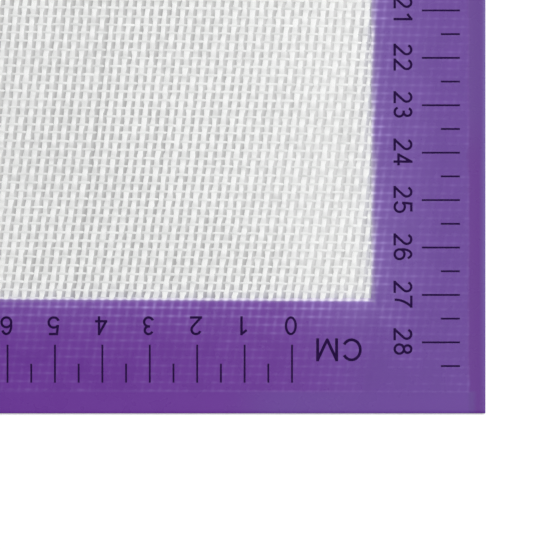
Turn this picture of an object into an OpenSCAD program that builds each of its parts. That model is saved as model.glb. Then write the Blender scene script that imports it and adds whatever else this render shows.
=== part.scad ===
// A flexible baking mat. Woven glass cloth lies between two clear silicone coats, and a coloured
// silicone border, made of an upper and a lower half, closes round the cut edge of the cloth.
// Two centimetre rulers are printed on the upper border.
// The origin is at the middle of the underside. +X runs along the mat, +Y to its back, +Z up.

/* [Mat] */
// Length of the mat, from the left end to the right end
mat_length = 520; // [400:1:800]
// Width of the mat, from the front edge to the back edge
mat_width = 315; // [250:1:600]

/* [Layers] */
// Thickness of the woven glass cloth
cloth_t = 0.3; // [0.1:0.05:1]
// Thickness of the clear silicone coat on each face of the cloth
coat_t = 0.1; // [0.05:0.05:0.5]
// Thickness of the border where it lies over a coat
border_t = 0.1; // [0.05:0.05:0.5]
// Thickness of the printed ink
ink_t = 0.04; // [0.02:0.01:0.2]

/* [Border] */
// Width of the border at the two ends
end_border_w = 23.7; // [21:0.1:60]
// Width of the border along the front and the back
side_border_w = 24; // [22:0.1:60]
// Width of the solid rim beyond the cloth at the two ends
end_rim_w = 3.5; // [1:0.1:5]
// Width of the solid rim beyond the cloth along the front and the back
side_rim_w = 4.5; // [1:0.1:6]

/* [Ruler marks] */
// Distance between two numbered marks
unit_pitch = 10; // [8:0.1:30]
// Length of a numbered mark
long_mark_len = 8; // [4.5:0.1:9]
// Length of the mark halfway between two numbered ones
half_mark_len = 4; // [1:0.1:7.5]
// Width of every mark
mark_w = 0.38; // [0.2:0.02:1]
// Distance from the right-hand edge to the marks of the end ruler
end_mark_inset = 5.4; // [3.6:0.1:7]
// Distance from the front edge to the marks of the front ruler
front_mark_inset = 6.5; // [4.6:0.1:8]
// Distance from the back edge to the zero of the end ruler
end_zero_inset = 20; // [16:0.1:60]
// Distance from the right-hand edge to the zero of the front ruler
front_zero_inset = 40.8; // [40:0.1:100]
// Least distance from a ruler's last mark to the edge that it runs towards
last_mark_inset = 9; // [5:0.1:40]

/* [Numerals] */
// Height of a numeral
numeral_h = 4; // [3:0.05:5]
// Width of a numeral
numeral_w = 2.55; // [1.6:0.05:3.4]
// Gap between the two numerals of a number
numeral_gap = 0.58; // [0.1:0.02:1.2]
// Width of the line that a numeral is drawn with
numeral_line_w = 0.5; // [0.2:0.02:0.6]
// Gap between the numbered marks and their numbers
number_gap = 2; // [0.5:0.1:3.4]
// Distance that the end ruler's numbers stand back from their marks, towards zero
end_number_back = 0.15; // [0:0.05:1]
// Distance that the front ruler's numbers stand on from their marks, away from zero
front_number_on = 0.25; // [0:0.05:1]

/* [Unit label] */
// Height of the two letters that name the unit
letter_h = 4.85; // [3:0.05:7]
// Width of the round letter
round_letter_w = 4.3; // [3:0.05:5]
// Width of the letter with two posts
post_letter_w = 4.6; // [3:0.05:6]
// Gap between the two letters
letter_gap = 0.7; // [0.3:0.05:2]
// Width of the line that a letter is drawn with
letter_line_w = 0.6; // [0.2:0.02:0.7]
// Distance from a ruler's zero back to the middle of its label
label_setback = 9.9; // [8:0.1:10.4]
// Distance from the edge beside a ruler to its label
label_inset = 11; // [7:0.1:13]

/* [Hidden] */
// Facets of a circle
$fn = 48;
// Turn of an oval line in each of its straight steps
step_angle = 15;
// How far a cutting shape runs past what it cuts
overrun = 1;

// Heights of the layers, counted from the underside
lower_coat_z = border_t;
cloth_z = lower_coat_z + coat_t;
upper_coat_z = cloth_z + cloth_t;
upper_border_z = upper_coat_z + coat_t;
print_z = upper_border_z + border_t;
// Where the halves of the border meet in the rim
rim_joint_z = print_z / 2;

// Plan sizes of the cloth and of the bare middle
cloth_length = mat_length - 2 * end_rim_w;
cloth_width = mat_width - 2 * side_rim_w;
middle_length = mat_length - 2 * end_border_w;
middle_width = mat_width - 2 * side_border_w;

// Counts of the half steps that fit on each ruler
end_half_steps = floor(2 * (mat_width - end_zero_inset - last_mark_inset) / unit_pitch);
front_half_steps = floor(2 * (mat_length - front_zero_inset - last_mark_inset) / unit_pitch);

// A numeral's middle line: half its width, and its height
half_w = (numeral_w - numeral_line_w) / 2;
line_h = numeral_h - numeral_line_w;

// Shapes of the numerals, as shares of half_w across and of line_h upwards
one_stem_share = 0.4;
one_flag_across_shares = 1.07;
one_flag_down_share = 0.24;
two_bowl_share = 0.93;
three_waist_share = 0.54;
three_notch_share = 0.05;
four_stem_share = 0.45;
four_bar_share = 0.23;
five_bowl_share = 0.61;
five_stem_share = 0.66;
five_flag_share = 0.74;
seven_foot_share = 0.4;
eight_waist_share = 0.555;

// Angles at which the open lines of the numerals begin and end, counted from +X
hook_angle = 160;
five_root_angle = 143;
six_tip_angle = 35;
six_root_angle = 195;
// Angle from the middle of the round letter's mouth to its tips
letter_mouth_angle = 32;

// Slab centred on the mat, from height z up
module slab(length, width, z, thickness) {
  translate([-length / 2, -width / 2, z]) cube([length, width, thickness]);
}

// Flat band of the border round the bare middle, from height z up
module border_band(z) {
  difference() {
    slab(mat_length, mat_width, z, border_t);
    slab(middle_length, middle_width, z - overrun, border_t + 2 * overrun);
  }
}

// Solid rim beyond the cut edge of the cloth, from height z up
module rim(z, height) {
  difference() {
    slab(mat_length, mat_width, z, height);
    slab(cloth_length, cloth_width, z - overrun, height + 2 * overrun);
  }
}

module glass_cloth() {
  color("gainsboro") slab(cloth_length, cloth_width, cloth_z, cloth_t);
}

module lower_clear_coat() {
  color("whitesmoke") slab(cloth_length, cloth_width, lower_coat_z, coat_t);
}

module upper_clear_coat() {
  color("whitesmoke") slab(cloth_length, cloth_width, upper_coat_z, coat_t);
}

module lower_border() {
  color("rebeccapurple") {
    border_band(0);
    rim(0, rim_joint_z);
  }
}

module upper_border() {
  color("rebeccapurple") {
    border_band(upper_border_z);
    rim(rim_joint_z, print_z - rim_joint_z);
  }
}

// Straight line of width w between two points, run on past each by its last value
module stroke(from, to, w, past = 0) {
  run = to - from;
  translate(from)
    rotate(atan2(run.y, run.x))
      translate([-past, -w / 2])
        square([norm(run) + 2 * past, w]);
}

// Closed round line of width w and radius r
module ring(centre, r, w) {
  translate(centre)
    difference() {
      circle(r + w / 2);
      circle(r - w / 2);
    }
}

// Round line of width w and radius r, counter-clockwise between two angles. A fan of four
// triangles, wider than the ring, cuts it out.
module arc(centre, r, w, start, end) {
  reach = 2 * (r + w);
  intersection() {
    ring(centre, r, w);
    translate(centre)
      polygon([
        [0, 0],
        for (k = [0:4]) let (t = start + (end - start) * k / 4) reach * [cos(t), sin(t)]
      ]);
  }
}

// Points along part of an oval of half axes a across and b upwards, between two angles
function oval_points(centre, a, b, start, end) =
  let (steps = ceil(abs(end - start) / step_angle))
  [for (k = [0:steps]) let (t = start + (end - start) * k / steps) centre + [a * cos(t), b * sin(t)]];

// Points beside a run of points, offset to its left
function beside(points, offset) = [
  for (k = [0:len(points) - 1])
    let (run = points[min(k + 1, len(points) - 1)] - points[max(k - 1, 0)])
    points[k] + offset * [-run.y, run.x] / norm(run)
];

// Line of width w along a run of points
module line(points, w) {
  left = beside(points, w / 2);
  right = beside(points, -w / 2);
  polygon([each right, for (k = [len(left) - 1:-1:0]) left[k]]);
}

// Closed oval line of width w
module oval(centre, a, b, w) {
  difference() {
    polygon(oval_points(centre, a + w / 2, b + w / 2, 0, 360 - step_angle));
    polygon(oval_points(centre, a - w / 2, b - w / 2, 0, 360 - step_angle));
  }
}

// Round joint that closes the corner between two strokes
module corner(point, w) {
  translate(point) circle(w / 2);
}

// Angle at which a line from a point touches a circle, on its clockwise side
function touch_angle(point, centre, r) =
  atan2(point.y - centre.y, point.x - centre.x) + acos(r / norm(point - centre));

module numeral_0() {
  oval([0, line_h / 2], half_w, line_h / 2, numeral_line_w);
}

module numeral_1() {
  stem_x = one_stem_share * half_w;
  top = [stem_x, line_h];
  stroke([stem_x, 0], top, numeral_line_w, numeral_line_w / 2);
  stroke(top - [one_flag_across_shares * half_w, one_flag_down_share * line_h], top, numeral_line_w);
}

module numeral_2() {
  bowl_r = two_bowl_share * half_w;
  bowl = [0, line_h - bowl_r];
  foot = [-half_w, 0];
  leave = touch_angle(foot, bowl, bowl_r);
  line([foot, each oval_points(bowl, bowl_r, bowl_r, leave, hook_angle)], numeral_line_w);
  stroke(foot, [half_w, 0], numeral_line_w, numeral_line_w / 2);
}

module numeral_3() {
  lower_r = three_waist_share * line_h / 2;
  upper_r = line_h / 2 - lower_r;
  arc([0, lower_r], lower_r, numeral_line_w, -hook_angle, 90);
  arc([0, line_h - upper_r], upper_r, numeral_line_w, -90, hook_angle);
  stroke([-three_notch_share * half_w, 2 * lower_r], [0, 2 * lower_r], numeral_line_w, numeral_line_w / 2);
}

module numeral_4() {
  stem_x = four_stem_share * half_w;
  bar_y = four_bar_share * line_h;
  stroke([stem_x, 0], [stem_x, line_h], numeral_line_w, numeral_line_w / 2);
  stroke([-half_w, bar_y], [half_w, bar_y], numeral_line_w, numeral_line_w / 2);
  stroke([-half_w, bar_y], [stem_x, line_h], numeral_line_w);
}

module numeral_5() {
  bowl_r = five_bowl_share * line_h / 2;
  flag_x = -five_stem_share * half_w;
  root = bowl_r * [cos(five_root_angle), 1 + sin(five_root_angle)];
  arc([0, bowl_r], bowl_r, numeral_line_w, -hook_angle, five_root_angle);
  stroke(root, [flag_x, line_h], numeral_line_w, numeral_line_w / 4);
  stroke([flag_x, line_h], [five_flag_share * half_w, line_h], numeral_line_w, numeral_line_w / 2);
}

module numeral_6() {
  ring([0, half_w], half_w, numeral_line_w);
  line(oval_points([0, line_h / 2], half_w, line_h / 2, six_tip_angle, six_root_angle), numeral_line_w);
}

module numeral_7() {
  foot_x = -seven_foot_share * half_w;
  across = half_w - foot_x;
  bend_r = (across * across + line_h * line_h) / (2 * across);
  arc([foot_x + bend_r, 0], bend_r, numeral_line_w, 180 - asin(line_h / bend_r), 180);
  stroke([-half_w, line_h], [half_w, line_h], numeral_line_w, numeral_line_w / 2);
}

module numeral_8() {
  lower_r = eight_waist_share * line_h / 2;
  upper_r = line_h / 2 - lower_r;
  ring([0, lower_r], lower_r, numeral_line_w);
  ring([0, line_h - upper_r], upper_r, numeral_line_w);
}

module numeral_9() {
  translate([0, line_h]) rotate(180) numeral_6();
}

// One numeral, with the foot of its middle line at the origin
module numeral(value) {
  if (value == 0) numeral_0();
  if (value == 1) numeral_1();
  if (value == 2) numeral_2();
  if (value == 3) numeral_3();
  if (value == 4) numeral_4();
  if (value == 5) numeral_5();
  if (value == 6) numeral_6();
  if (value == 7) numeral_7();
  if (value == 8) numeral_8();
  if (value == 9) numeral_9();
}

// Whole number of one or two numerals, centred across the origin
module number(value) {
  step = numeral_w + numeral_gap;
  translate([0, numeral_line_w / 2]) {
    if (value < 10) numeral(value);
    if (value >= 10) {
      translate([-step / 2, 0]) numeral(floor(value / 10));
      translate([step / 2, 0]) numeral(value % 10);
    }
  }
}

module round_letter() {
  centre = [round_letter_w / 2, letter_h / 2];
  across = (round_letter_w - letter_line_w) / 2;
  upwards = (letter_h - letter_line_w) / 2;
  line(oval_points(centre, across, upwards, letter_mouth_angle, 360 - letter_mouth_angle), letter_line_w);
}

module post_letter() {
  left = letter_line_w / 2;
  right = post_letter_w - letter_line_w / 2;
  top = letter_h - letter_line_w / 2;
  valley = [post_letter_w / 2, letter_line_w / 2];
  for (x = [left, right]) {
    stroke([x, letter_line_w / 2], [x, top], letter_line_w, letter_line_w / 2);
    stroke([x, top], valley, letter_line_w);
  }
  corner(valley, letter_line_w);
}

// The two letters that name the unit, centred across the origin
module unit_label() {
  label_w = round_letter_w + letter_gap + post_letter_w;
  translate([-label_w / 2, 0]) {
    round_letter();
    translate([round_letter_w + letter_gap, 0]) post_letter();
  }
}

// Each ruler is drawn with its zero at the origin, its numbers rising along +X and the edge that
// it lies beside along the X axis, with the mat below. These two set it in place.
module on_end_ruler() {
  translate([mat_length / 2, mat_width / 2 - end_zero_inset, print_z]) rotate(-90) children();
}

module on_front_ruler() {
  translate([mat_length / 2 - front_zero_inset, -mat_width / 2, print_z]) rotate(180) children();
}

// Marks of one length, at every second half step from the first one given
module marks(first, last, inset, mark_len) {
  for (k = [first:2:last])
    translate([k * unit_pitch / 2 - mark_w / 2, -inset - mark_len, 0]) cube([mark_w, mark_len, ink_t]);
}

// Numbers of a ruler, from zero, set on from their marks by the distance given
module numbers(half_steps, inset, set_on) {
  foot = -inset - long_mark_len - number_gap - numeral_h;
  for (k = [0:floor(half_steps / 2)])
    translate([k * unit_pitch + set_on, foot, 0]) linear_extrude(ink_t) number(k);
}

module label() {
  translate([-label_setback, -label_inset - letter_h, 0]) linear_extrude(ink_t) unit_label();
}

module end_ruler_numbered_marks() {
  color("indigo") on_end_ruler() marks(0, end_half_steps, end_mark_inset, long_mark_len);
}

module end_ruler_half_marks() {
  color("indigo") on_end_ruler() marks(1, end_half_steps, end_mark_inset, half_mark_len);
}

module end_ruler_numbers() {
  color("indigo") on_end_ruler() numbers(end_half_steps, end_mark_inset, -end_number_back);
}

module end_ruler_unit_label() {
  color("indigo") on_end_ruler() label();
}

module front_ruler_numbered_marks() {
  color("indigo") on_front_ruler() marks(0, front_half_steps, front_mark_inset, long_mark_len);
}

module front_ruler_half_marks() {
  color("indigo") on_front_ruler() marks(1, front_half_steps, front_mark_inset, half_mark_len);
}

module front_ruler_numbers() {
  color("indigo") on_front_ruler() numbers(front_half_steps, front_mark_inset, front_number_on);
}

module front_ruler_unit_label() {
  color("indigo") on_front_ruler() label();
}

glass_cloth();
lower_clear_coat();
upper_clear_coat();
lower_border();
upper_border();
end_ruler_numbered_marks();
end_ruler_half_marks();
end_ruler_numbers();
end_ruler_unit_label();
front_ruler_numbered_marks();
front_ruler_half_marks();
front_ruler_numbers();
front_ruler_unit_label();
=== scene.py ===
"""Looks of the baking mat: woven glass yarns, clear silicone, coloured border and printed rulers.

Everything is in metres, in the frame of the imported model: +X to the end with a ruler, +Y to the
back, +Z up, with the origin at the middle of the underside. The ends are the short edges of the
mat, and the sides are its front and back.
"""

import math
from typing import NamedTuple

import bpy
import numpy as np
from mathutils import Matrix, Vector

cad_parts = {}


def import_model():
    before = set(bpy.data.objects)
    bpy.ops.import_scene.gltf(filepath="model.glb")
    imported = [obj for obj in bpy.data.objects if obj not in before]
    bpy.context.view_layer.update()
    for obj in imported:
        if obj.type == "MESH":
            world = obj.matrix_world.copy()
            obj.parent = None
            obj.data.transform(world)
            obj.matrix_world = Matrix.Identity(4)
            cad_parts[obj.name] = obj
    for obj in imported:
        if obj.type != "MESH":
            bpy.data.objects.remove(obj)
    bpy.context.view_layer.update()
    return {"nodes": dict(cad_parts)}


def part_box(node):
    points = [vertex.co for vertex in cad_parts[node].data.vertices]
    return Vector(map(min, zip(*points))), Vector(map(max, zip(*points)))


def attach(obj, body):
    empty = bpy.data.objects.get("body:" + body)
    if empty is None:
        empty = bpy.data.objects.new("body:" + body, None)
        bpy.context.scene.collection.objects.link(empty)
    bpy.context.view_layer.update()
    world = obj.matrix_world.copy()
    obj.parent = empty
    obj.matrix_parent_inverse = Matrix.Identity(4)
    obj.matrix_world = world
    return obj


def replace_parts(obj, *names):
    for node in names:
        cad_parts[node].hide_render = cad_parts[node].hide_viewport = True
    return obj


MM = 0.001
BODY = "root"
Socket = bpy.types.NodeSocket

# The part of the mat that the camera looks straight down on
VIEW_X = 215.6 * MM
VIEW_Y = -128.3 * MM
VIEW_WIDTH = 116.0 * MM
CAMERA_HEIGHT = 0.8
CAMERA_REACH = 20
SENSOR = 36.0

# The floor, the light from all round and the two lamps
FLOOR_HALF = 4.0
FLOOR_LEVEL = -0.05 * MM
FLOOR_GLOW = 0.3
WORLD_LIGHT = 0.34
KEY_CENTRE = (1.38, 0.73, 1.60)
KEY_SIZE = 1.0
KEY_POWER = 33.6
OVERHEAD_X = 0.495
OVERHEAD_Y = -0.05
OVERHEAD_HEIGHT = 0.92
OVERHEAD_SIZE = 0.6
OVERHEAD_POWER = 1.3

# The weave. Warps run along Y and lean, wefts run along X, and both bow a little across the mat.
WARP_PITCH = 1.8553 * MM
WEFT_PITCH = 1.754 * MM
WARP_START = 0.47 * MM
WEFT_START = -0.41 * MM
WARP_LEAN = 0.122
WEFT_SLOPE = -0.0068
WARP_BOW = 0.68 * MM
WEFT_BOW = -0.126 * MM
BOW_LENGTH = 170 * MM
BOW_START = -100 * MM
WEAVE_STEPS = 4

# How many more yarns are counted on each side of the middle than half the cloth holds
SPARE_WARPS = 1
SPARE_WEFTS = 2

# Random differences between the yarns and along each of them
RANDOM_SEED = 7
WIDTH_JITTER = 0.085
YARN_WIDTH_JITTER = 0.6 * WIDTH_JITTER
PLACE_JITTER = 0.04 * MM
SHADE_JITTER = 0.17

# The points of a yarn's cross-section, the angle from which its edges are sharp, and how white its
# flanks are as a share of its top, a painted shade that rounds the yarn
RING_POINTS = 4
YARN_SHARP = math.radians(90)
SIDE_SHADE = 0.8

# The silicone film that fills the cloth. It sags in waves of so many radians to the metre.
FILLING_T = 0.01 * MM
FILLING_STEP = 9.0 * MM
FILLING_SAG = 0.004 * MM
FILLING_WAVES = (61, 47)

# The tone of that film: where the gap between two warps is, as shares of the pitch, across which
# it is painted darker towards the right as the shadow of the warp there, how far in it is darker
# along the sides, and the length and phase of its slow change along the mat
WARP_GAP = (0.28, 0.72)
FILLING_SIDE_REACH = 7 * MM
FILLING_CHANGE = 150 * MM
FILLING_CHANGE_TURN = -1.1

# The shape of the border
END_BAND = 24.12 * MM
SIDE_BAND = 24.25 * MM
RIM_DIP = 0.04 * MM
BORDER_STEP = 0.6 * MM
INNER_WANDER = 0.08 * MM
BORDER_SHARP = math.radians(50)
BAKE_ROWS = 6

# Where the border's inner lip runs out thin over the cloth, measured in from the mat's edge, and
# the length over which the cloth shows through it by a factor of e more
END_LIP_START = 24.03 * MM
SIDE_LIP_START = 24.17 * MM
END_LIP = 0.45 * MM
SIDE_LIP = 0.32 * MM

# How many such lengths further the lip reaches into the slots between the yarns, how many fewer
# than there over each yarn, how many it varies by, and how many more at the ends by the corners
END_SLOTS = 0.25
END_OVER_WARP = 0.45
SIDE_SLOTS = 2.3
SIDE_OVER_WEFT = 3.2
SIDE_OVER_WARP = 0.65
LIP_RAGGED = 0.4
CORNER_LIP_MORE = 1.9

# Measured in from the sides: where the ends' lip reaches that much further, and where the lip takes
# on the look that it has along the sides
CORNER_LIP = (SIDE_BAND + 3.4 * MM, SIDE_BAND + 0.2 * MM)
SIDE_LIP_LOOK = (SIDE_BAND + 0.6 * MM, SIDE_BAND + 0.2 * MM)

# Where the border's colour changes. A pair is where a change starts and where it is complete. These
# are measured in from the ends of the mat.
END_RIM_LINE = (3.3 * MM, 3.9 * MM)
RIM_LINE_RAGGED = 0.5 * MM
# The next three spans place a painted sheen near the corners and towards the ends
CORNER_PAINTED_SHEEN = (41 * MM, 57 * MM)
CORNER_PAINTED_SHEEN_EDGE = (1.9 * MM, 2.9 * MM)
END_PAINTED_SHEEN = (48 * MM, 16 * MM)
EDGE_BLOOM = (1.4 * MM, 0.1 * MM)
# The next two place a painted sheen along the ends
END_SHEEN = (9 * MM, 14 * MM)
END_SHEEN_STOP = (28 * MM, 23 * MM)
PAST_END_BAND = (23 * MM, 27 * MM)
# This one places a painted sheen where the sides' band nears an end
NEAR_END = (45 * MM, 29 * MM)

# These are measured in from the sides of the mat
SIDE_RIM_LINE = (4.3 * MM, 4.9 * MM)
# This span places a painted sheen along the ends' rim
MID_END_PAINTED_SHEEN = (50 * MM, 65 * MM)
EDGE_BLOOM_PAST_SIDE = (2 * MM, 30 * MM)
# This one is where the ends' painted sheen grows in from the sides
END_SHEEN_PAST_SIDE = (16 * MM, 30 * MM)

# These are measured in from the cut edge of the cloth
CLOTH_START = (-0.5 * MM, 0.3 * MM)
MOTTLED_START = (-0.5 * MM, 1 * MM)
CUT_LINE = 0.15 * MM
CUT_LINE_HALF = 0.35 * MM

# These are measured from the border's inner edge, the last one over the cloth
SHOWN_REACH = 3 * MM
VEIL_REACH = 6 * MM
LIP_VEIL = (0.4 * MM, 2.0 * MM)
TINT_REACH = 1.2 * MM

# Seen through the border, a weft is brightest this share of the pitch short of its middle
WEFT_SHOWN_SHORT = 0.078

# Colours, as shares of red, green and blue, and opaque
WHITE = (1.0, 1.0, 1.0, 1.0)
# The yarns' grey is partly their depth in the silicone and partly painted shade
GLASS_DEEP, GLASS_WHITE = (0.68, 0.685, 0.68, 1), (0.97, 0.975, 0.97, 1)
# The filling's greys are painted shade, for the dim depth seen through the clear silicone
FILLING_DARK, FILLING_PALE = (0.408, 0.405, 0.405, 1), (0.70, 0.698, 0.698, 1)
COAT_GREY, COAT_WHITE = (0.93, 0.93, 0.93, 1), (0.97, 0.97, 0.97, 1)
PURPLE_DARK, PURPLE = (0.127, 0.022, 0.284, 1), (0.153, 0.032, 0.325, 1)
# The first is mixed in for the painted sheen and for the milky outer edge of the ends
PURPLE_MILK_AND_SHEEN, PURPLE_PALE = (0.12, 0.22, 0.43, 1), (0.50, 0.38, 0.84, 1)
PURPLE_TINT = (0.73, 0.71, 0.88, 1)
END_SLOT, END_YARN = (0.58, 0.55, 0.65, 1), (0.92, 0.89, 0.99, 1)
SIDE_SLOT, SIDE_YARN = (0.58, 0.52, 0.70, 1), (0.88, 0.84, 0.96, 1)
INK_DARK, INK_PALE = (0.014, 0.002, 0.045, 1), (0.026, 0.005, 0.070, 1)
FLOOR_GREY = (0.86, 0.86, 0.86, 1)

# The range that most of a noise lies in
NOISE_SPAN = (0.3, 0.7)

# Which way up a crossing is, as seen from the nearer face
WARP_ON_TOP, WARP_BENEATH = -1, 1

# Places of the colour sockets of a mix node
MIX_FIRST, MIX_SECOND, MIX_RESULT = 6, 7, 2

# Names that a mesh and its material share, or that the map for baking goes by
# The yarns' whiteness, painted shade and highlight included
RISE_AND_PAINTED_SHADE = "rise_and_painted_shade"
BAKE_MAP = "OFBake"


class Ring(NamedTuple):
    """A cross-section of a yarn near a crossing."""

    # How far past the crossing it is, as a share of the pitch
    along: float
    # Height of its middle above the middle of the cloth
    height: float
    # How far aside it lies
    aside: float
    # How white it is on the side that is up, painted shade and highlight included
    white: float


class Yarn(NamedTuple):
    """The yarns of one direction. Warps lie nearly straight, and the wefts weave round them."""

    # Its width where it passes over and where it passes under
    over_width: float
    under_width: float
    thickness: float
    # The two rings at a crossing where it passes over, and where it passes under
    over: tuple
    under: tuple
    # How many neighbours make up a piece
    per_piece: int


# How white each ring is holds painted light: brighter parts of each float where the lamp falls on
# it, and painted shade where a yarn sinks beneath another
WARP = Yarn(
    over_width=1.10 * MM,
    under_width=1.16 * MM,
    thickness=0.13 * MM,
    over=(Ring(-0.30, 0.0, 0.0, 0.70), Ring(0.30, 0.0, 0.0, 0.95)),
    under=(Ring(-0.30, 0.0, 0.0, 0.88), Ring(0.30, 0.0, 0.0, 0.70)),
    per_piece=60,
)
WEFT = Yarn(
    over_width=0.50 * MM,
    under_width=0.50 * MM,
    thickness=0.11 * MM,
    over=(Ring(-0.22, 0.07 * MM, -0.03 * MM, 0.70), Ring(0.60, 0.03 * MM, -0.09 * MM, 0.60)),
    under=(Ring(-0.14, -0.07 * MM, -0.09 * MM, 0.55), Ring(0.25, -0.03 * MM, -0.06 * MM, 0.12)),
    per_piece=35,
)

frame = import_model()
nodes = frame["nodes"]

cloth_low, cloth_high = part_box("glass_cloth")
_, coat_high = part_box("upper_clear_coat")
upper_low, mat_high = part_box("upper_border")
mat_low, lower_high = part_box("lower_border")
CLOTH_MID = (cloth_low.z + cloth_high.z) / 2
RIM_JOINT = (upper_low.z + lower_high.z) / 2
END_RIM = mat_high.x - cloth_high.x
SIDE_RIM = mat_high.y - cloth_high.y


# Nodes of the materials

def new_material(name):
    """An empty node material, its node tree and its output."""
    material = bpy.data.materials.new(name)
    material.use_nodes = True
    tree = material.node_tree
    tree.nodes.clear()
    output = tree.nodes.new("ShaderNodeOutputMaterial")
    return material, tree, output


def plug(tree, socket, value):
    """Sets a socket to a number or colour, or links it to another socket."""
    if isinstance(value, Socket):
        tree.links.new(value, socket)
    elif value is not None:
        socket.default_value = value


def math_node(tree, operation, a, b=None, c=None, clamp=False):
    node = tree.nodes.new("ShaderNodeMath")
    node.operation = operation
    node.use_clamp = clamp
    for socket, value in zip(node.inputs, (a, b, c)):
        plug(tree, socket, value)
    return node.outputs[0]


def add(tree, a, b, clamp=False):
    return math_node(tree, "ADD", a, b, clamp=clamp)


def subtract(tree, a, b):
    return math_node(tree, "SUBTRACT", a, b)


def times(tree, a, b, clamp=False):
    return math_node(tree, "MULTIPLY", a, b, clamp=clamp)


def multiply_add(tree, a, b, c, clamp=False):
    return math_node(tree, "MULTIPLY_ADD", a, b, c, clamp=clamp)


def least(tree, a, b):
    return math_node(tree, "MINIMUM", a, b)


def most(tree, a, b):
    return math_node(tree, "MAXIMUM", a, b)


def cosine(tree, angle):
    return math_node(tree, "COSINE", angle)


def falloff(tree, distance, length, top=1.0):
    """Falls from top at no distance, by a factor of e over each length."""
    return math_node(tree, "EXPONENT", multiply_add(tree, distance, -1 / length, math.log(top)))


def inwards(tree, along, half):
    """How far in a place along an axis is from the nearer of two edges, each half away from the
    middle."""
    return subtract(tree, half, math_node(tree, "ABSOLUTE", along))


def mix_colour(tree, share, a, b, way="MIX"):
    node = tree.nodes.new("ShaderNodeMix")
    node.data_type = "RGBA"
    node.blend_type = way
    plug(tree, node.inputs["Factor"], share)
    plug(tree, node.inputs[MIX_FIRST], a)
    plug(tree, node.inputs[MIX_SECOND], b)
    return node.outputs[MIX_RESULT]


def ramp(tree, value, span, outputs=(0.0, 1.0), smooth=False):
    """Maps a span of values, rising or falling, to the outputs, and stays at its ends outside it."""
    node = tree.nodes.new("ShaderNodeMapRange")
    node.interpolation_type = "SMOOTHSTEP" if smooth else "LINEAR"
    plug(tree, node.inputs["Value"], value)
    node.inputs["From Min"].default_value, node.inputs["From Max"].default_value = span
    node.inputs["To Min"].default_value, node.inputs["To Max"].default_value = outputs
    return node.outputs["Result"]


def place(tree):
    """The point on the piece, in metres."""
    return tree.nodes.new("ShaderNodeTexCoord").outputs["Object"]


def axes(tree, point):
    """The x, y and z of a point."""
    split = tree.nodes.new("ShaderNodeSeparateXYZ")
    tree.links.new(point, split.inputs[0])
    return tuple(split.outputs)


def noise(tree, point, scale, detail=2.0, roughness=0.5, stretch=(1, 1, 1)):
    """Noise with scale features to the metre, drawn out along the axes with a small stretch."""
    mapping = tree.nodes.new("ShaderNodeMapping")
    tree.links.new(point, mapping.inputs["Vector"])
    mapping.inputs["Scale"].default_value = stretch
    node = tree.nodes.new("ShaderNodeTexNoise")
    tree.links.new(mapping.outputs[0], node.inputs["Vector"])
    node.inputs["Scale"].default_value = scale
    node.inputs["Detail"].default_value = detail
    node.inputs["Roughness"].default_value = roughness
    return node.outputs["Fac"]


def bump(tree, height, distance, strength):
    node = tree.nodes.new("ShaderNodeBump")
    node.inputs["Strength"].default_value = strength
    node.inputs["Distance"].default_value = distance
    tree.links.new(height, node.inputs["Height"])
    return node.outputs["Normal"]


def scaled(tree, colour, factor):
    """The colour, brighter or darker by this factor."""
    node = tree.nodes.new("ShaderNodeVectorMath")
    node.operation = "SCALE"
    plug(tree, node.inputs[0], colour)
    plug(tree, node.inputs["Scale"], factor)
    return node.outputs[0]


def principled(tree, output, colour, roughness, specular=0.5, normal=None, alpha=None):
    """The shader of every piece of the mat, joined to the material's output."""
    shader = tree.nodes.new("ShaderNodeBsdfPrincipled")
    plug(tree, shader.inputs["Base Color"], colour)
    plug(tree, shader.inputs["Roughness"], roughness)
    shader.inputs["Specular IOR Level"].default_value = specular
    plug(tree, shader.inputs["Normal"], normal)
    plug(tree, shader.inputs["Alpha"], alpha)
    tree.links.new(shader.outputs[0], output.inputs["Surface"])


def weave_phases(tree, x, y):
    """How far a point is along the warp and weft counts, whole numbers at the middles of yarns."""
    turn = 2 * math.pi / BOW_LENGTH
    bow = cosine(tree, multiply_add(tree, y, turn, -turn * BOW_START))
    warp = multiply_add(tree, x, 1 / WARP_PITCH, -WARP_START / WARP_PITCH)
    warp = multiply_add(tree, y, -WARP_LEAN / WARP_PITCH, warp)
    warp = multiply_add(tree, bow, -WARP_BOW / WARP_PITCH, warp)
    weft = multiply_add(tree, y, 1 / WEFT_PITCH, -WEFT_START / WEFT_PITCH)
    weft = multiply_add(tree, x, -WEFT_SLOPE / WEFT_PITCH, weft)
    weft = multiply_add(tree, bow, -WEFT_BOW / WEFT_PITCH, weft)
    return warp, weft


def ridge(tree, phase, sharpness):
    """1 at whole numbers of the phase, falling to 0 halfway between them."""
    wave = cosine(tree, times(tree, phase, 2 * math.pi))
    return math_node(tree, "POWER", multiply_add(tree, wave, 0.5, 0.5, clamp=True), sharpness)


def crossings(tree, warp, weft, z, way_up, shift, sharpness):
    """1 just past each crossing that is this way up, WARP_ON_TOP or WARP_BENEATH. shift is how far
    past it, as a share of the pitch."""
    past_weft = multiply_add(tree, weft, math.pi, -math.pi * shift)
    wave = times(tree, cosine(tree, times(tree, warp, math.pi)), cosine(tree, past_weft))
    facing = math_node(tree, "SIGN", subtract(tree, z, CLOTH_MID))
    wave = times(tree, times(tree, wave, facing), way_up, clamp=True)
    return math_node(tree, "POWER", wave, sharpness)


def beside_border(tree, x, y, colour, share):
    """Tints the colour of the cloth with the border's, by this share beside it and less further
    in."""
    in_x = inwards(tree, x, mat_high.x - END_BAND)
    in_y = inwards(tree, y, mat_high.y - SIDE_BAND)
    inside = most(tree, least(tree, in_x, in_y), 0.0)
    share = times(tree, falloff(tree, inside, TINT_REACH), share, clamp=True)
    return mix_colour(tree, share, colour, PURPLE_TINT, "MULTIPLY")


# Materials of the cloth and its coats

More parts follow.
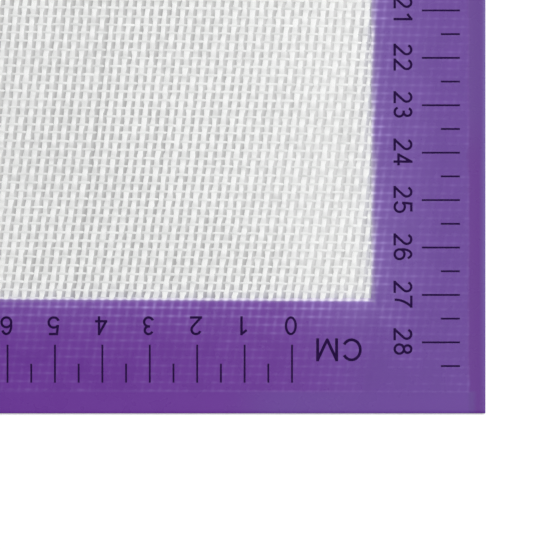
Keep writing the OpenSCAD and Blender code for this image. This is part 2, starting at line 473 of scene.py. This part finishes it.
def yarn_material(name, fibre_stretch, crown_highlight=0.0, dip_shadow=0.0):
    """Bundles of fine glass fibre. A yarn is whitest where it lies on top, nearest the surface, and
    greyer where it dips into the silicone, partly from its depth there and partly as painted shade.
    Its fibres run along it. Of the last two arguments, the first is how much a painted highlight
    whitens the crown of each float, and the second how much a painted shadow greys the yarn just
    before it passes beneath."""
    material, tree, output = new_material(name)
    point = place(tree)
    x, y, z = axes(tree, point)
    rise_and_painted_shade = tree.nodes.new("ShaderNodeAttribute")
    rise_and_painted_shade.attribute_name = RISE_AND_PAINTED_SHADE
    clouds = noise(tree, point, scale=26, detail=3.0, roughness=0.55)
    # height here is how white the yarn is, painted shade and highlight included
    height = add(tree, rise_and_painted_shade.outputs["Fac"], ramp(tree, clouds, NOISE_SPAN, (-0.1, 0.1)))
    if crown_highlight:
        warp, weft = weave_phases(tree, x, y)
        # A painted highlight on each float's crown, and a painted shadow where the yarn is about to
        # pass beneath
        painted_crown_highlights = crossings(tree, warp, weft, z, WARP_ON_TOP, shift=0.10, sharpness=2.5)
        painted_dip_shadows = crossings(tree, warp, weft, z, WARP_BENEATH, shift=-0.14, sharpness=6.0)
        height = add(tree, height, times(tree, painted_crown_highlights, crown_highlight))
        height = add(tree, height, times(tree, painted_dip_shadows, -dip_shadow), clamp=True)
    colour = mix_colour(tree, height, GLASS_DEEP, GLASS_WHITE)
    fibres = noise(tree, point, scale=5200, roughness=0.6, stretch=fibre_stretch)
    colour = scaled(tree, colour, ramp(tree, fibres, (0.25, 0.75), (0.94, 1.0)))
    colour = beside_border(tree, x, y, colour, subtract(tree, 1.0, height))
    grain = bump(tree, fibres, distance=0.01 * MM, strength=0.6)
    principled(tree, output, colour, 0.55, specular=0.3, normal=grain)
    return material


def filling_material():
    """Clear silicone that fills the cloth between its yarns. Its grey there is painted shade, for
    the dim depth seen through it. It is painted darkest on the right of each gap, as the shadow of
    the warp there, and a little darker along the sides, and its tone changes slowly along the mat."""
    material, tree, output = new_material("silicone_filling")
    point = place(tree)
    x, y, _ = axes(tree, point)
    warp, _ = weave_phases(tree, x, y)
    cells = noise(tree, point, scale=420, detail=3.0, roughness=0.6)
    clouds = noise(tree, point, scale=22)
    # Painted shadow: darker towards the right of each gap between warps
    tone = ramp(tree, math_node(tree, "FRACT", warp), WARP_GAP, (1.0, 0.25))
    tone = add(tree, tone, ramp(tree, cells, NOISE_SPAN, (-0.25, 0.25)))
    tone = add(tree, tone, ramp(tree, clouds, NOISE_SPAN, (-0.2, 0.2)))
    from_side = subtract(tree, inwards(tree, y, mat_high.y), SIDE_BAND)
    tone = add(tree, tone, times(tree, falloff(tree, from_side, FILLING_SIDE_REACH), -0.08))
    slow = cosine(tree, multiply_add(tree, x, 2 * math.pi / FILLING_CHANGE, FILLING_CHANGE_TURN))
    tone = add(tree, tone, times(tree, slow, -0.22), clamp=True)
    colour = mix_colour(tree, tone, FILLING_DARK, FILLING_PALE)
    colour = beside_border(tree, x, y, colour, 1.0)
    principled(tree, output, colour, ramp(tree, cells, (0.2, 0.8), (0.3, 0.45)))
    return material


def coat_material():
    """A film of clear silicone with a faint milky bloom."""
    material, tree, output = new_material("clear_silicone")
    point = place(tree)
    bloom = noise(tree, point, scale=35, detail=3.0)
    colour = mix_colour(tree, bloom, COAT_GREY, COAT_WHITE)
    roughness = ramp(tree, bloom, NOISE_SPAN, (0.24, 0.34))
    alpha = ramp(tree, bloom, NOISE_SPAN, (0.03, 0.06))
    grain = bump(tree, noise(tree, point, scale=900), distance=0.006 * MM, strength=0.4)
    principled(tree, output, colour, roughness, specular=1.0, normal=grain, alpha=alpha)
    return material


# Material of the border

class Spot(NamedTuple):
    """What a point of the border is like, as sockets of its material."""

    # How far in it is from the mat's ends, and from its sides
    in_x: Socket
    in_y: Socket
    # How far out it is from the border's inner edge
    from_lip: Socket
    # How far in it is from the cut edge of the cloth, and whether the cloth is under it
    in_cloth: Socket
    on_cloth: Socket
    # Where it is in the warp and weft counts, and how strongly the yarns there show
    warp: Socket
    weft: Socket
    lines: Socket
    # How uneven the silicone is, in blotches and in wide clouds
    blotches: Socket
    clouds: Socket


def weave_lines(tree, warp, weft, z):
    """How strongly the yarns under the border show, each most where it passes over."""
    warps = ridge(tree, warp, 2.5)
    on_top = crossings(tree, warp, weft, z, WARP_ON_TOP, shift=0.10, sharpness=1.0)
    warps = times(tree, warps, multiply_add(tree, on_top, 0.45, 0.3))
    wefts = ridge(tree, add(tree, weft, WEFT_SHOWN_SHORT), 4.0)
    beneath = crossings(tree, warp, weft, z, WARP_BENEATH, shift=-0.08, sharpness=1.0)
    wefts = times(tree, wefts, multiply_add(tree, beneath, 0.7, 0.6))
    return add(tree, warps, wefts)


def border_spot(tree, point):
    """What the border is like at a point."""
    x, y, z = axes(tree, point)
    in_x, in_y = inwards(tree, x, mat_high.x), inwards(tree, y, mat_high.y)
    in_cloth = least(tree, subtract(tree, in_x, END_RIM), subtract(tree, in_y, SIDE_RIM))
    warp, weft = weave_phases(tree, x, y)
    return Spot(
        in_x=in_x,
        in_y=in_y,
        from_lip=subtract(tree, SIDE_BAND, least(tree, in_x, in_y)),
        in_cloth=in_cloth,
        on_cloth=ramp(tree, in_cloth, CLOTH_START, smooth=True),
        warp=warp,
        weft=weft,
        lines=weave_lines(tree, warp, weft, z),
        blotches=noise(tree, point, scale=150, detail=3.0, roughness=0.6),
        clouds=noise(tree, point, scale=20),
    )


def shown_weave(tree, spot):
    """How pale the yarns under the border make it: most by the inner edge, where it is thin."""
    strength = times(tree, falloff(tree, spot.from_lip, SHOWN_REACH, top=1.65), 0.185)
    uneven = ramp(tree, spot.blotches, (0.25, 0.75), (0.25, 1.75), smooth=True)
    strength = times(tree, add(tree, strength, 0.05), uneven)
    return times(tree, times(tree, spot.lines, strength), spot.on_cloth)


def veil_and_sheen(tree, spot):
    """How pale the silicone itself makes the border: most towards its inner edge, and more so by the
    yarns there. A painted sheen makes it paler still where the sides' band nears an end, and a
    little along the ends."""
    pale = times(tree, falloff(tree, spot.from_lip, VEIL_REACH, top=1.39), 0.09)
    pale = times(tree, pale, ramp(tree, spot.clouds, NOISE_SPAN, (0.6, 1.4)))
    # Painted sheen: the paleness grows where the sides' band nears an end
    near_end = ramp(tree, spot.in_x, NEAR_END, smooth=True)
    near_end = times(tree, near_end, ramp(tree, spot.in_x, PAST_END_BAND, smooth=True))
    pale = times(tree, pale, multiply_add(tree, near_end, 0.9, 1.0))

    by_lip = ramp(tree, spot.from_lip, LIP_VEIL, (0.13, 0.0), smooth=True)
    by_lip = times(tree, by_lip, ramp(tree, spot.in_x, PAST_END_BAND, (0.3, 0.8)))
    by_lip = times(tree, by_lip, multiply_add(tree, spot.lines, 1.1, 0.4))
    pale = add(tree, add(tree, pale, by_lip), times(tree, spot.on_cloth, -0.018))

    # Painted sheen along the ends, growing away from the sides
    on_end = ramp(tree, spot.in_x, END_SHEEN)
    on_end = times(tree, on_end, ramp(tree, spot.in_x, END_SHEEN_STOP, (0.0, 0.028)))
    past_side = ramp(tree, spot.in_y, END_SHEEN_PAST_SIDE, (-0.5, 1.0), smooth=True)
    return add(tree, pale, times(tree, on_end, past_side))


def rim_painted_sheen(tree, in_x, in_y):
    """Where the rim is given a painted sheen: near the corners along the sides, away from them along
    the ends.
    """
    by_corner = ramp(tree, in_x, CORNER_PAINTED_SHEEN, (1.0, 0.0), smooth=True)
    by_corner = times(tree, by_corner, ramp(tree, in_y, SIDE_RIM_LINE, (1.0, 0.0)))
    by_corner = times(tree, by_corner, ramp(tree, in_x, CORNER_PAINTED_SHEEN_EDGE))
    mid_end = ramp(tree, in_y, MID_END_PAINTED_SHEEN, (0.0, 0.8), smooth=True)
    mid_end = times(tree, mid_end, ramp(tree, in_x, END_RIM_LINE, (1.0, 0.0)))
    return most(tree, by_corner, mid_end)


def thick_colour(tree, spot):
    """The colour of the border where nothing shows through it. It is mottled, less so in the rim,
    and darkest in the rim of the ends. A painted sheen makes it paler towards the ends and in
    parts of the rim, and it is milky along the ends' outer edge."""
    rim_x = ramp(tree, spot.blotches, (0.2, 0.8), (-RIM_LINE_RAGGED, RIM_LINE_RAGGED))
    rim_x = add(tree, spot.in_x, rim_x)
    contrast = ramp(tree, spot.in_cloth, MOTTLED_START, (0.5, 1.6))
    mottled = add(tree, times(tree, subtract(tree, spot.blotches, 0.5), contrast), 0.5)
    colour = mix_colour(tree, mottled, PURPLE_DARK, PURPLE)
    colour = scaled(tree, colour, ramp(tree, rim_x, END_RIM_LINE, (0.87, 1.0)))

    # Painted sheen, paler towards the ends and in parts of the rim
    painted_sheen = ramp(tree, spot.in_x, END_PAINTED_SHEEN, (0.0, 0.10), smooth=True)
    painted_sheen = times(tree, painted_sheen, ramp(tree, rim_x, END_RIM_LINE))
    painted_sheen = most(tree, painted_sheen, times(tree, rim_painted_sheen(tree, rim_x, spot.in_y), 0.10))
    by_edge = ramp(tree, spot.in_x, EDGE_BLOOM, (0.0, 0.20))
    by_edge = times(tree, by_edge, ramp(tree, spot.in_y, EDGE_BLOOM_PAST_SIDE, (0.4, 1.0)))
    return mix_colour(tree, most(tree, painted_sheen, by_edge), colour, PURPLE_MILK_AND_SHEEN)


def lip_colour(tree, spot, colour):
    """Whitens the colour where the border runs out thin over the white cloth. The border reaches
    less far over the yarns, which stand up, than into the slots between them."""
    warps = ridge(tree, spot.warp, 1.0)
    ends = multiply_add(tree, spot.in_x, -1 / END_LIP, END_LIP_START / END_LIP + END_SLOTS)
    ends = multiply_add(tree, warps, -END_OVER_WARP, ends)
    ends = add(tree, ends, ramp(tree, spot.in_y, CORNER_LIP, (0.0, CORNER_LIP_MORE)))
    sides = multiply_add(tree, spot.in_y, -1 / SIDE_LIP, SIDE_LIP_START / SIDE_LIP + SIDE_SLOTS)
    sides = multiply_add(tree, ridge(tree, spot.weft, 2.0), -SIDE_OVER_WEFT, sides)
    sides = multiply_add(tree, warps, -SIDE_OVER_WARP, sides)
    ragged = ramp(tree, spot.blotches, NOISE_SPAN, (-LIP_RAGGED, LIP_RAGGED), smooth=True)
    depth = most(tree, add(tree, most(tree, ends, sides), ragged), 0.0)
    thin = math_node(tree, "EXPONENT", times(tree, depth, -1.0))
    thin = times(tree, thin, multiply_add(tree, spot.lines, 0.2, 0.85), clamp=True)
    on_ends = mix_colour(tree, spot.lines, END_SLOT, END_YARN)
    on_sides = mix_colour(tree, warps, SIDE_SLOT, SIDE_YARN)
    shown = mix_colour(tree, ramp(tree, spot.in_y, SIDE_LIP_LOOK), on_ends, on_sides)
    return mix_colour(tree, thin, colour, shown)


def border_material():
    """Purple silicone. The weave under it shows as paler lines, strongest by the inner edge, where
    the silicone is thin, and not at all in the rim, where there is no cloth. A painted sheen
    makes it paler towards the ends."""
    material, tree, output = new_material("border_silicone")
    point = place(tree)
    spot = border_spot(tree, point)
    off_line = math_node(tree, "ABSOLUTE", subtract(tree, spot.in_cloth, CUT_LINE))
    cut_line = ramp(tree, off_line, (0.0, CUT_LINE_HALF), (1.0, 0.0))
    pale = add(tree, shown_weave(tree, spot), veil_and_sheen(tree, spot))
    pale = add(tree, pale, times(tree, cut_line, 0.04), clamp=True)
    colour = mix_colour(tree, pale, thick_colour(tree, spot), PURPLE_PALE)
    colour = lip_colour(tree, spot, colour)

    roughness = ramp(tree, spot.blotches, NOISE_SPAN, (0.24, 0.32))
    relief = times(tree, noise(tree, point, scale=700), 0.25)
    relief = add(tree, relief, times(tree, spot.lines, spot.on_cloth))
    relief = bump(tree, relief, distance=0.012 * MM, strength=0.6)
    principled(tree, output, colour, roughness, specular=0.36, normal=relief)
    return material


def ink_material():
    """Dark violet silicone ink, a little uneven, as a screen lays it down."""
    material, tree, output = new_material("ink")
    grain = noise(tree, place(tree), scale=900, detail=3.0, roughness=0.6)
    colour = mix_colour(tree, ramp(tree, grain, (0.35, 0.75)), INK_DARK, INK_PALE)
    relief = bump(tree, grain, distance=0.004 * MM, strength=0.5)
    principled(tree, output, colour, 0.6, specular=0.05, normal=relief)
    return material


# Meshes

def new_object(name, data):
    """An object with this data, put in the scene."""
    made = bpy.data.objects.new(name, data)
    bpy.context.scene.collection.objects.link(made)
    return made


def piece(name, points, faces, bake_places, material):
    """A mesh object of quads that rides on the mat. bake_places are the places of the faces'
    corners on the map that its colours can be baked through, or None where it has no such map."""
    mesh = bpy.data.meshes.new(name)
    faces = np.asarray(faces, np.int32)
    mesh.vertices.add(len(points))
    mesh.vertices.foreach_set("co", np.asarray(points, np.float32).ravel())
    mesh.loops.add(faces.size)
    mesh.loops.foreach_set("vertex_index", faces.ravel())
    mesh.polygons.add(len(faces))
    mesh.polygons.foreach_set("loop_start", np.arange(0, faces.size, 4, dtype=np.int32))
    mesh.polygons.foreach_set("use_smooth", np.full(len(faces), True))
    mesh.update(calc_edges=True)
    if bake_places is not None:
        bake_map = mesh.uv_layers.new(name=BAKE_MAP)
        bake_map.uv.foreach_set("vector", np.asarray(bake_places, np.float32).ravel())
    mesh.validate()
    mesh.materials.append(material)
    made = new_object(name, mesh)
    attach(made, BODY)
    return made


def map_corners(*corners):
    """Places of faces' corners on the baking map, from the u and v of each corner in turn."""
    return np.stack([np.stack(corner, -1) for corner in corners], 1)


def on_weave(warp, weft):
    """Where a place in the warp and weft counts lies on the mat, closed in on in a few steps."""
    x = WARP_PITCH * warp + WARP_START
    y = WEFT_PITCH * weft + WEFT_START
    for _ in range(WEAVE_STEPS):
        bow = np.cos(2 * math.pi * (y - BOW_START) / BOW_LENGTH)
        x = WARP_PITCH * warp + WARP_START + WARP_LEAN * y + WARP_BOW * bow
        y = WEFT_PITCH * weft + WEFT_START + WEFT_SLOPE * x + WEFT_BOW * bow
    return x, y


def inside_cloth(x, y):
    """Whether the widest yarn still lies whole on the cloth with its middle there."""
    widest = WARP.under_width
    return (np.abs(x) < cloth_high.x - widest) & (np.abs(y) < cloth_high.y - widest)


def yarn_rings(yarn, numbers, stations, random):
    """Rings of four points round each of these yarns, two at every station, where it crosses
    another. Returns the points, how white the yarn is at each, and which rings are inside the
    cloth."""
    count, station = np.meshgrid(numbers, np.repeat(stations, 2), indexing="ij")
    after = np.arange(station.shape[1]) % 2
    over = (count + station) % 2 == (1 if yarn is WARP else 0)

    def pick(field, over=over):
        """A number of the ring at each place, where the yarn passes over and where it passes
        under."""
        on_top, beneath = (
            np.array([getattr(ring, field) for ring in rings])[after]
            for rings in (yarn.over, yarn.under)
        )
        return np.where(over, on_top, beneath)

    along = station + pick("along")
    if yarn is WARP:
        x, y = on_weave(count.astype(float), along)
        across = np.array([1.0, -WARP_LEAN])
    else:
        x, y = on_weave(along, count.astype(float))
        across = np.array([-WEFT_SLOPE, 1.0])
    across /= np.linalg.norm(across)

    a_yarn, everywhere = (len(numbers), 1), x.shape
    width = np.where(over, yarn.over_width, yarn.under_width)
    width = width * (1 + YARN_WIDTH_JITTER * random.standard_normal(a_yarn))
    width = width * (1 + WIDTH_JITTER * random.standard_normal(everywhere))
    wander = random.standard_normal(a_yarn) + random.standard_normal(everywhere)
    aside = pick("aside") + PLACE_JITTER * wander
    z = CLOTH_MID + pick("height")
    jitter = SHADE_JITTER * random.standard_normal(everywhere)
    # The top and underside carry the rings' whiteness, painted shade and highlight included
    upper, lower = pick("white") + jitter, pick("white", ~over) + jitter

    # The flanks are painted darker than the top, as shade
    shaded_flank = SIDE_SHADE * upper
    rings, shades = [], []
    for side, height, white in ((-1, 0, shaded_flank), (0, 1, upper), (1, 0, shaded_flank), (0, -1, lower)):
        offset = aside + side * width / 2
        ring_x, ring_y = x + across[0] * offset, y + across[1] * offset
        rings.append(np.stack([ring_x, ring_y, z + height * yarn.thickness / 2], -1))
        shades.append(white)
    return np.stack(rings, 2), np.stack(shades, 2), inside_cloth(x, y)


def tube_faces(inside):
    """Faces of tubes with four sides, one along each row of rings, with a cap on each end. The
    second result holds the places of their corners on the baking map, a strip for each side."""
    rows, rings = inside.shape
    row = np.arange(rows)[:, None] + np.zeros(rings, int)
    first = (row * rings + np.arange(rings)) * RING_POINTS
    start_u = np.arange(1, rings + 1) / (rings + 2) + np.zeros((rows, 1))
    step_u, step_v = 1 / (rings + 2), 1 / (RING_POINTS * rows)
    joined = inside[:, 1:] & inside[:, :-1]
    here, after = first[:, :-1][joined], first[:, 1:][joined]
    u, strip = start_u[:, :-1][joined], row[:, :-1][joined] * RING_POINTS
    faces, places = [], []
    for side in range(RING_POINTS):
        turned = (side + 1) % RING_POINTS
        faces.append(np.stack([here + side, here + turned, after + turned, after + side], -1))
        foot, top = (strip + side) / (RING_POINTS * rows), (strip + side + 1) / (RING_POINTS * rows)
        places.append(map_corners((u, foot), (u, top), (u + step_u, top), (u + step_u, foot)))
    starts = inside & ~np.pad(inside, ((0, 0), (1, 0)))[:, :-1]
    ends = inside & ~np.pad(inside, ((0, 0), (0, 1)))[:, 1:]
    for cap, corners, shift in ((starts, [3, 2, 1, 0], -step_u), (ends, [0, 1, 2, 3], 0.0)):
        faces.append(first[cap][:, None] + np.array(corners))
        u, foot = start_u[cap] + shift, row[cap] / rows
        top = foot + step_v
        places.append(map_corners((u, foot), (u, top), (u + step_u, top), (u + step_u, foot)))
    return np.concatenate(faces), np.concatenate(places)


def yarn_pieces(kind, yarn, material, random):
    """The yarns of one direction, a run of neighbours to a piece. A run wholly off the cloth makes
    none."""
    reach = cloth_high.x + WARP_LEAN * cloth_high.y
    most_warp = math.ceil(reach / WARP_PITCH) + SPARE_WARPS
    most_weft = math.ceil(cloth_high.y / WEFT_PITCH) + SPARE_WEFTS
    warp_numbers = np.arange(-most_warp, most_warp + 1)
    weft_numbers = np.arange(-most_weft, most_weft + 1)
    if yarn is WARP:
        numbers, stations = warp_numbers, weft_numbers
    else:
        numbers, stations = weft_numbers, warp_numbers
    made = []
    for k, start in enumerate(range(0, len(numbers), yarn.per_piece)):
        run = numbers[start : start + yarn.per_piece]
        points, shades, inside = yarn_rings(yarn, run, stations, random)
        if not inside.any():
            continue
        faces, places = tube_faces(inside)
        used, faces = np.unique(faces, return_inverse=True)
        faces = faces.reshape(-1, RING_POINTS)
        if yarn is WARP:
            faces, places = faces[:, ::-1], places[:, ::-1]
        points = points.reshape(-1, 3)[used]
        one = piece(f"{kind}_yarns_{k + 1}", points, faces, places, material)
        # The whiteness at each point, painted shade and highlight included, goes to the material
        rise_and_painted_shade = one.data.attributes.new(RISE_AND_PAINTED_SHADE, "FLOAT", "POINT")
        rise_and_painted_shade.data.foreach_set("value", shades.ravel()[used].astype(np.float32))
        one.data.set_sharp_from_angle(angle=YARN_SHARP)
        made.append(one)
    return made


def grid_faces(columns, rows):
    """Quads of a grid whose points run along the columns first."""
    corner = (np.arange(rows - 1)[:, None] * columns + np.arange(columns - 1)).ravel()
    return np.stack([corner, corner + 1, corner + columns + 1, corner + columns], -1)


def filling():
    """The sheet of silicone that fills the cloth between its yarns, a closed film."""
    nx = round((cloth_high.x - cloth_low.x) / FILLING_STEP) + 1
    ny = round((cloth_high.y - cloth_low.y) / FILLING_STEP) + 1
    columns = np.linspace(cloth_low.x, cloth_high.x, nx)
    rows = np.linspace(cloth_low.y, cloth_high.y, ny)
    x, y = np.meshgrid(columns, rows)
    sag = FILLING_SAG * np.sin(x * FILLING_WAVES[0]) * np.cos(y * FILLING_WAVES[1])
    skins = []
    for up in (1, -1):
        skins.append(np.stack([x, y, CLOTH_MID + up * FILLING_T / 2 + sag], -1).reshape(-1, 3))
    quads = grid_faces(nx, ny)
    front, right = np.arange(nx - 1), nx * np.arange(ny - 1) + nx - 1
    back, left = nx * ny - 1 - front, nx * (ny - 1 - np.arange(ny - 1))
    ring = np.concatenate([front, right, back, left])
    after = np.roll(ring, -1)
    walls = np.stack([ring + nx * ny, after + nx * ny, after, ring], -1)
    faces = np.concatenate([quads, quads[:, ::-1] + nx * ny, walls])
    points = np.concatenate(skins)
    return piece("cloth_filling", points, faces, None, filling_material())


def border_profile(rim):
    """Cross-section of the upper half of the border, beside a rim of this width. Each point is a
    distance in from the mat's edge, the share of the band's width to add to it, and a height. They
    run from the foot of the inner lip, which reaches down to the cloth, over the top and down the
    edge to the joint, then in along the joint and up the cut edge of the cloth and its coat."""
    top, lip_rise = mat_high.z, mat_high.z - coat_high.z
    return [
        # The slope of the inner lip
        (0.0, 1.0, cloth_high.z),
        (-0.8 * MM, 1.0, coat_high.z),
        (-1.3 * MM, 1.0, coat_high.z + 0.60 * lip_rise),
        (-2.0 * MM, 1.0, top),
        # The top, which dips over the rim
        (0.0, 0.5, top),
        (rim + 0.9 * MM, 0.0, top),
        (rim + 0.3 * MM, 0.0, top - 0.10 * RIM_DIP),
        (rim - 0.4 * MM, 0.0, top - 0.72 * RIM_DIP),
        (rim - 1.2 * MM, 0.0, top - RIM_DIP),
        (rim - 2.0 * MM, 0.0, top - 0.85 * RIM_DIP),
        # The rounded outer edge
        (1.0 * MM, 0.0, top - 0.55 * RIM_DIP),
        (0.55 * MM, 0.0, top - 0.7 * RIM_DIP),
        (0.22 * MM, 0.0, top - 1.7 * RIM_DIP),
        (0.06 * MM, 0.0, top - 3.2 * RIM_DIP),
        (0.0, 0.0, top - 5.0 * RIM_DIP),
        # The joint with the other half, and the cut edge of the cloth and its coat
        (0.0, 0.0, RIM_JOINT),
        (rim, 0.0, RIM_JOINT),
        (rim, 0.0, coat_high.z),
    ]


def round_the_mat():
    """Places round the mat's edge, as shares of its half length and half width."""
    nx, ny = round(2 * mat_high.x / BORDER_STEP), round(2 * mat_high.y / BORDER_STEP)
    along_x = np.linspace(-1, 1, nx, endpoint=False)
    along_y = np.linspace(-1, 1, ny, endpoint=False)
    u = np.concatenate([along_x, np.ones(ny), -along_x, -np.ones(ny)])
    v = np.concatenate([-np.ones(nx), along_y, np.ones(nx), -along_y])
    return u, v


def border_map(stations, profile):
    """Places of the border's faces' corners on the baking map: its length cut into rows, which lie
    side by side. The first profile point is at the foot of a row."""
    length = math.ceil(stations / BAKE_ROWS)
    here = np.arange(stations)
    row, start, end = here // length, here % length / length, (here % length + 1) / length
    widths = []
    for (a_in, a_share, a_z), (b_in, b_share, b_z) in zip(profile, profile[1:] + profile[:1]):
        widths.append(math.hypot(b_in - a_in + SIDE_BAND * (b_share - a_share), b_z - a_z))
    widths = np.array(widths)
    sides = np.concatenate([[0], np.cumsum(widths)]) / widths.sum()
    places = []
    for low, high in zip(sides, sides[1:]):
        low, high = (row + low) / BAKE_ROWS, (row + high) / BAKE_ROWS
        places.append(map_corners((start, low), (end, low), (end, high), (start, high)))
    return np.concatenate(places)


def border(name, upside_down, material):
    """One half of the border, swept round the mat with mitred corners."""
    u, v = round_the_mat()
    end_profile, side_profile = border_profile(END_RIM), border_profile(SIDE_RIM)
    loops = []
    for (end_in, end_share, z), (side_in, side_share, _) in zip(end_profile, side_profile):
        x = u * (mat_high.x - end_in - end_share * END_BAND)
        y = v * (mat_high.y - side_in - side_share * SIDE_BAND)
        if end_share == 1.0:
            turn_x, turn_y = x / WARP_PITCH * math.pi, y / WEFT_PITCH * math.pi + 1
            wander = INNER_WANDER * np.sin(turn_x) * np.sin(turn_y)
            x = x + np.where(np.abs(u) == 1, wander, 0)
            y = y + np.where(np.abs(v) == 1, wander, 0)
        height = mat_low.z + mat_high.z - z if upside_down else z
        loops.append(np.stack([x, y, np.full(x.shape, height)], -1))
    here = np.arange(len(u))
    after = (here + 1) % len(u)
    faces = []
    for k in range(len(loops)):
        low, high = k * len(u), (k + 1) % len(loops) * len(u)
        faces.append(np.stack([low + here, low + after, high + after, high + here], -1))
    faces, places = np.concatenate(faces), border_map(len(u), side_profile)
    if not upside_down:
        faces, places = faces[:, ::-1], places[:, ::-1]
    made = piece(name, np.concatenate(loops), faces, places, material)
    made.data.set_sharp_from_angle(angle=BORDER_SHARP)
    return made


# The pieces

def dress(node, material):
    """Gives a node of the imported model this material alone."""
    node.data.materials.clear()
    node.data.materials.append(material)


warp_glass = yarn_material("warp_yarn", fibre_stretch=(1, 0.06, 1), crown_highlight=0.42, dip_shadow=0.3)
weft_glass = yarn_material("weft_yarn", fibre_stretch=(0.06, 1, 1))
random = np.random.default_rng(RANDOM_SEED)
warps = yarn_pieces("warp", WARP, warp_glass, random)
wefts = yarn_pieces("weft", WEFT, weft_glass, random)
web = filling()
for one in [web] + warps + wefts:
    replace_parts(one, "glass_cloth")

coat = coat_material()
for name in ("lower_clear_coat", "upper_clear_coat"):
    dress(nodes[name], coat)

purple = border_material()
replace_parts(border("upper_border_skin", False, purple), "upper_border")
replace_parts(border("lower_border_skin", True, purple), "lower_border")

ink = ink_material()
for name, node in nodes.items():
    if "_ruler_" in name:
        dress(node, ink)


# The stage

def floor():
    """A pale floor just under the mat, a little brighter to the camera and in reflections than as
    a light on the mat."""
    material, tree, output = new_material("floor")
    shader = tree.nodes.new("ShaderNodeBsdfPrincipled")
    shader.inputs["Base Color"].default_value = FLOOR_GREY
    shader.inputs["Roughness"].default_value = 0.9
    path = tree.nodes.new("ShaderNodeLightPath")
    seen = most(tree, path.outputs["Is Camera Ray"], path.outputs["Is Glossy Ray"])
    seen = most(tree, seen, path.outputs["Is Transmission Ray"])
    shader.inputs["Emission Color"].default_value = WHITE
    tree.links.new(times(tree, seen, FLOOR_GLOW), shader.inputs["Emission Strength"])
    tree.links.new(shader.outputs[0], output.inputs["Surface"])
    mesh = bpy.data.meshes.new("floor")
    corners = []
    for x, y in ((-1, -1), (1, -1), (1, 1), (-1, 1)):
        corners.append((x * FLOOR_HALF, y * FLOOR_HALF, FLOOR_LEVEL))
    mesh.from_pydata(corners, [], [range(len(corners))])
    mesh.materials.append(material)
    made = new_object("floor", mesh)


def softbox(name, centre, aim, size, power):
    """A square light that shines from its centre towards aim."""
    light = bpy.data.lights.new(name, "AREA")
    light.shape = "SQUARE"
    light.size = size
    light.energy = power
    made = new_object(name, light)
    made.location = centre
    made.rotation_euler = (Vector(aim) - Vector(centre)).to_track_quat("-Z", "Y").to_euler()
    made.visible_camera = False


def world(strength):
    """An even white light from all round."""
    made = bpy.data.worlds.new("studio")
    made.use_nodes = True
    background = made.node_tree.nodes["Background"]
    background.inputs["Color"].default_value = WHITE
    background.inputs["Strength"].default_value = strength
    bpy.context.scene.world = made


def camera():
    """Looks straight down on the photographed corner."""
    data = bpy.data.cameras.new("camera")
    data.sensor_width = SENSOR
    data.lens = SENSOR * CAMERA_HEIGHT / VIEW_WIDTH
    data.clip_end = CAMERA_REACH
    made = new_object("camera", data)
    made.location = (VIEW_X, VIEW_Y, mat_high.z + CAMERA_HEIGHT)
    bpy.context.scene.camera = made


floor()
world(WORLD_LIGHT)
softbox("key", KEY_CENTRE, (VIEW_X, VIEW_Y, 0), KEY_SIZE, KEY_POWER)
overhead = (OVERHEAD_X, OVERHEAD_Y, OVERHEAD_HEIGHT)
softbox("overhead", overhead, (OVERHEAD_X, OVERHEAD_Y, 0), OVERHEAD_SIZE, OVERHEAD_POWER)
camera()
bpy.context.scene.view_settings.view_transform = "Standard"
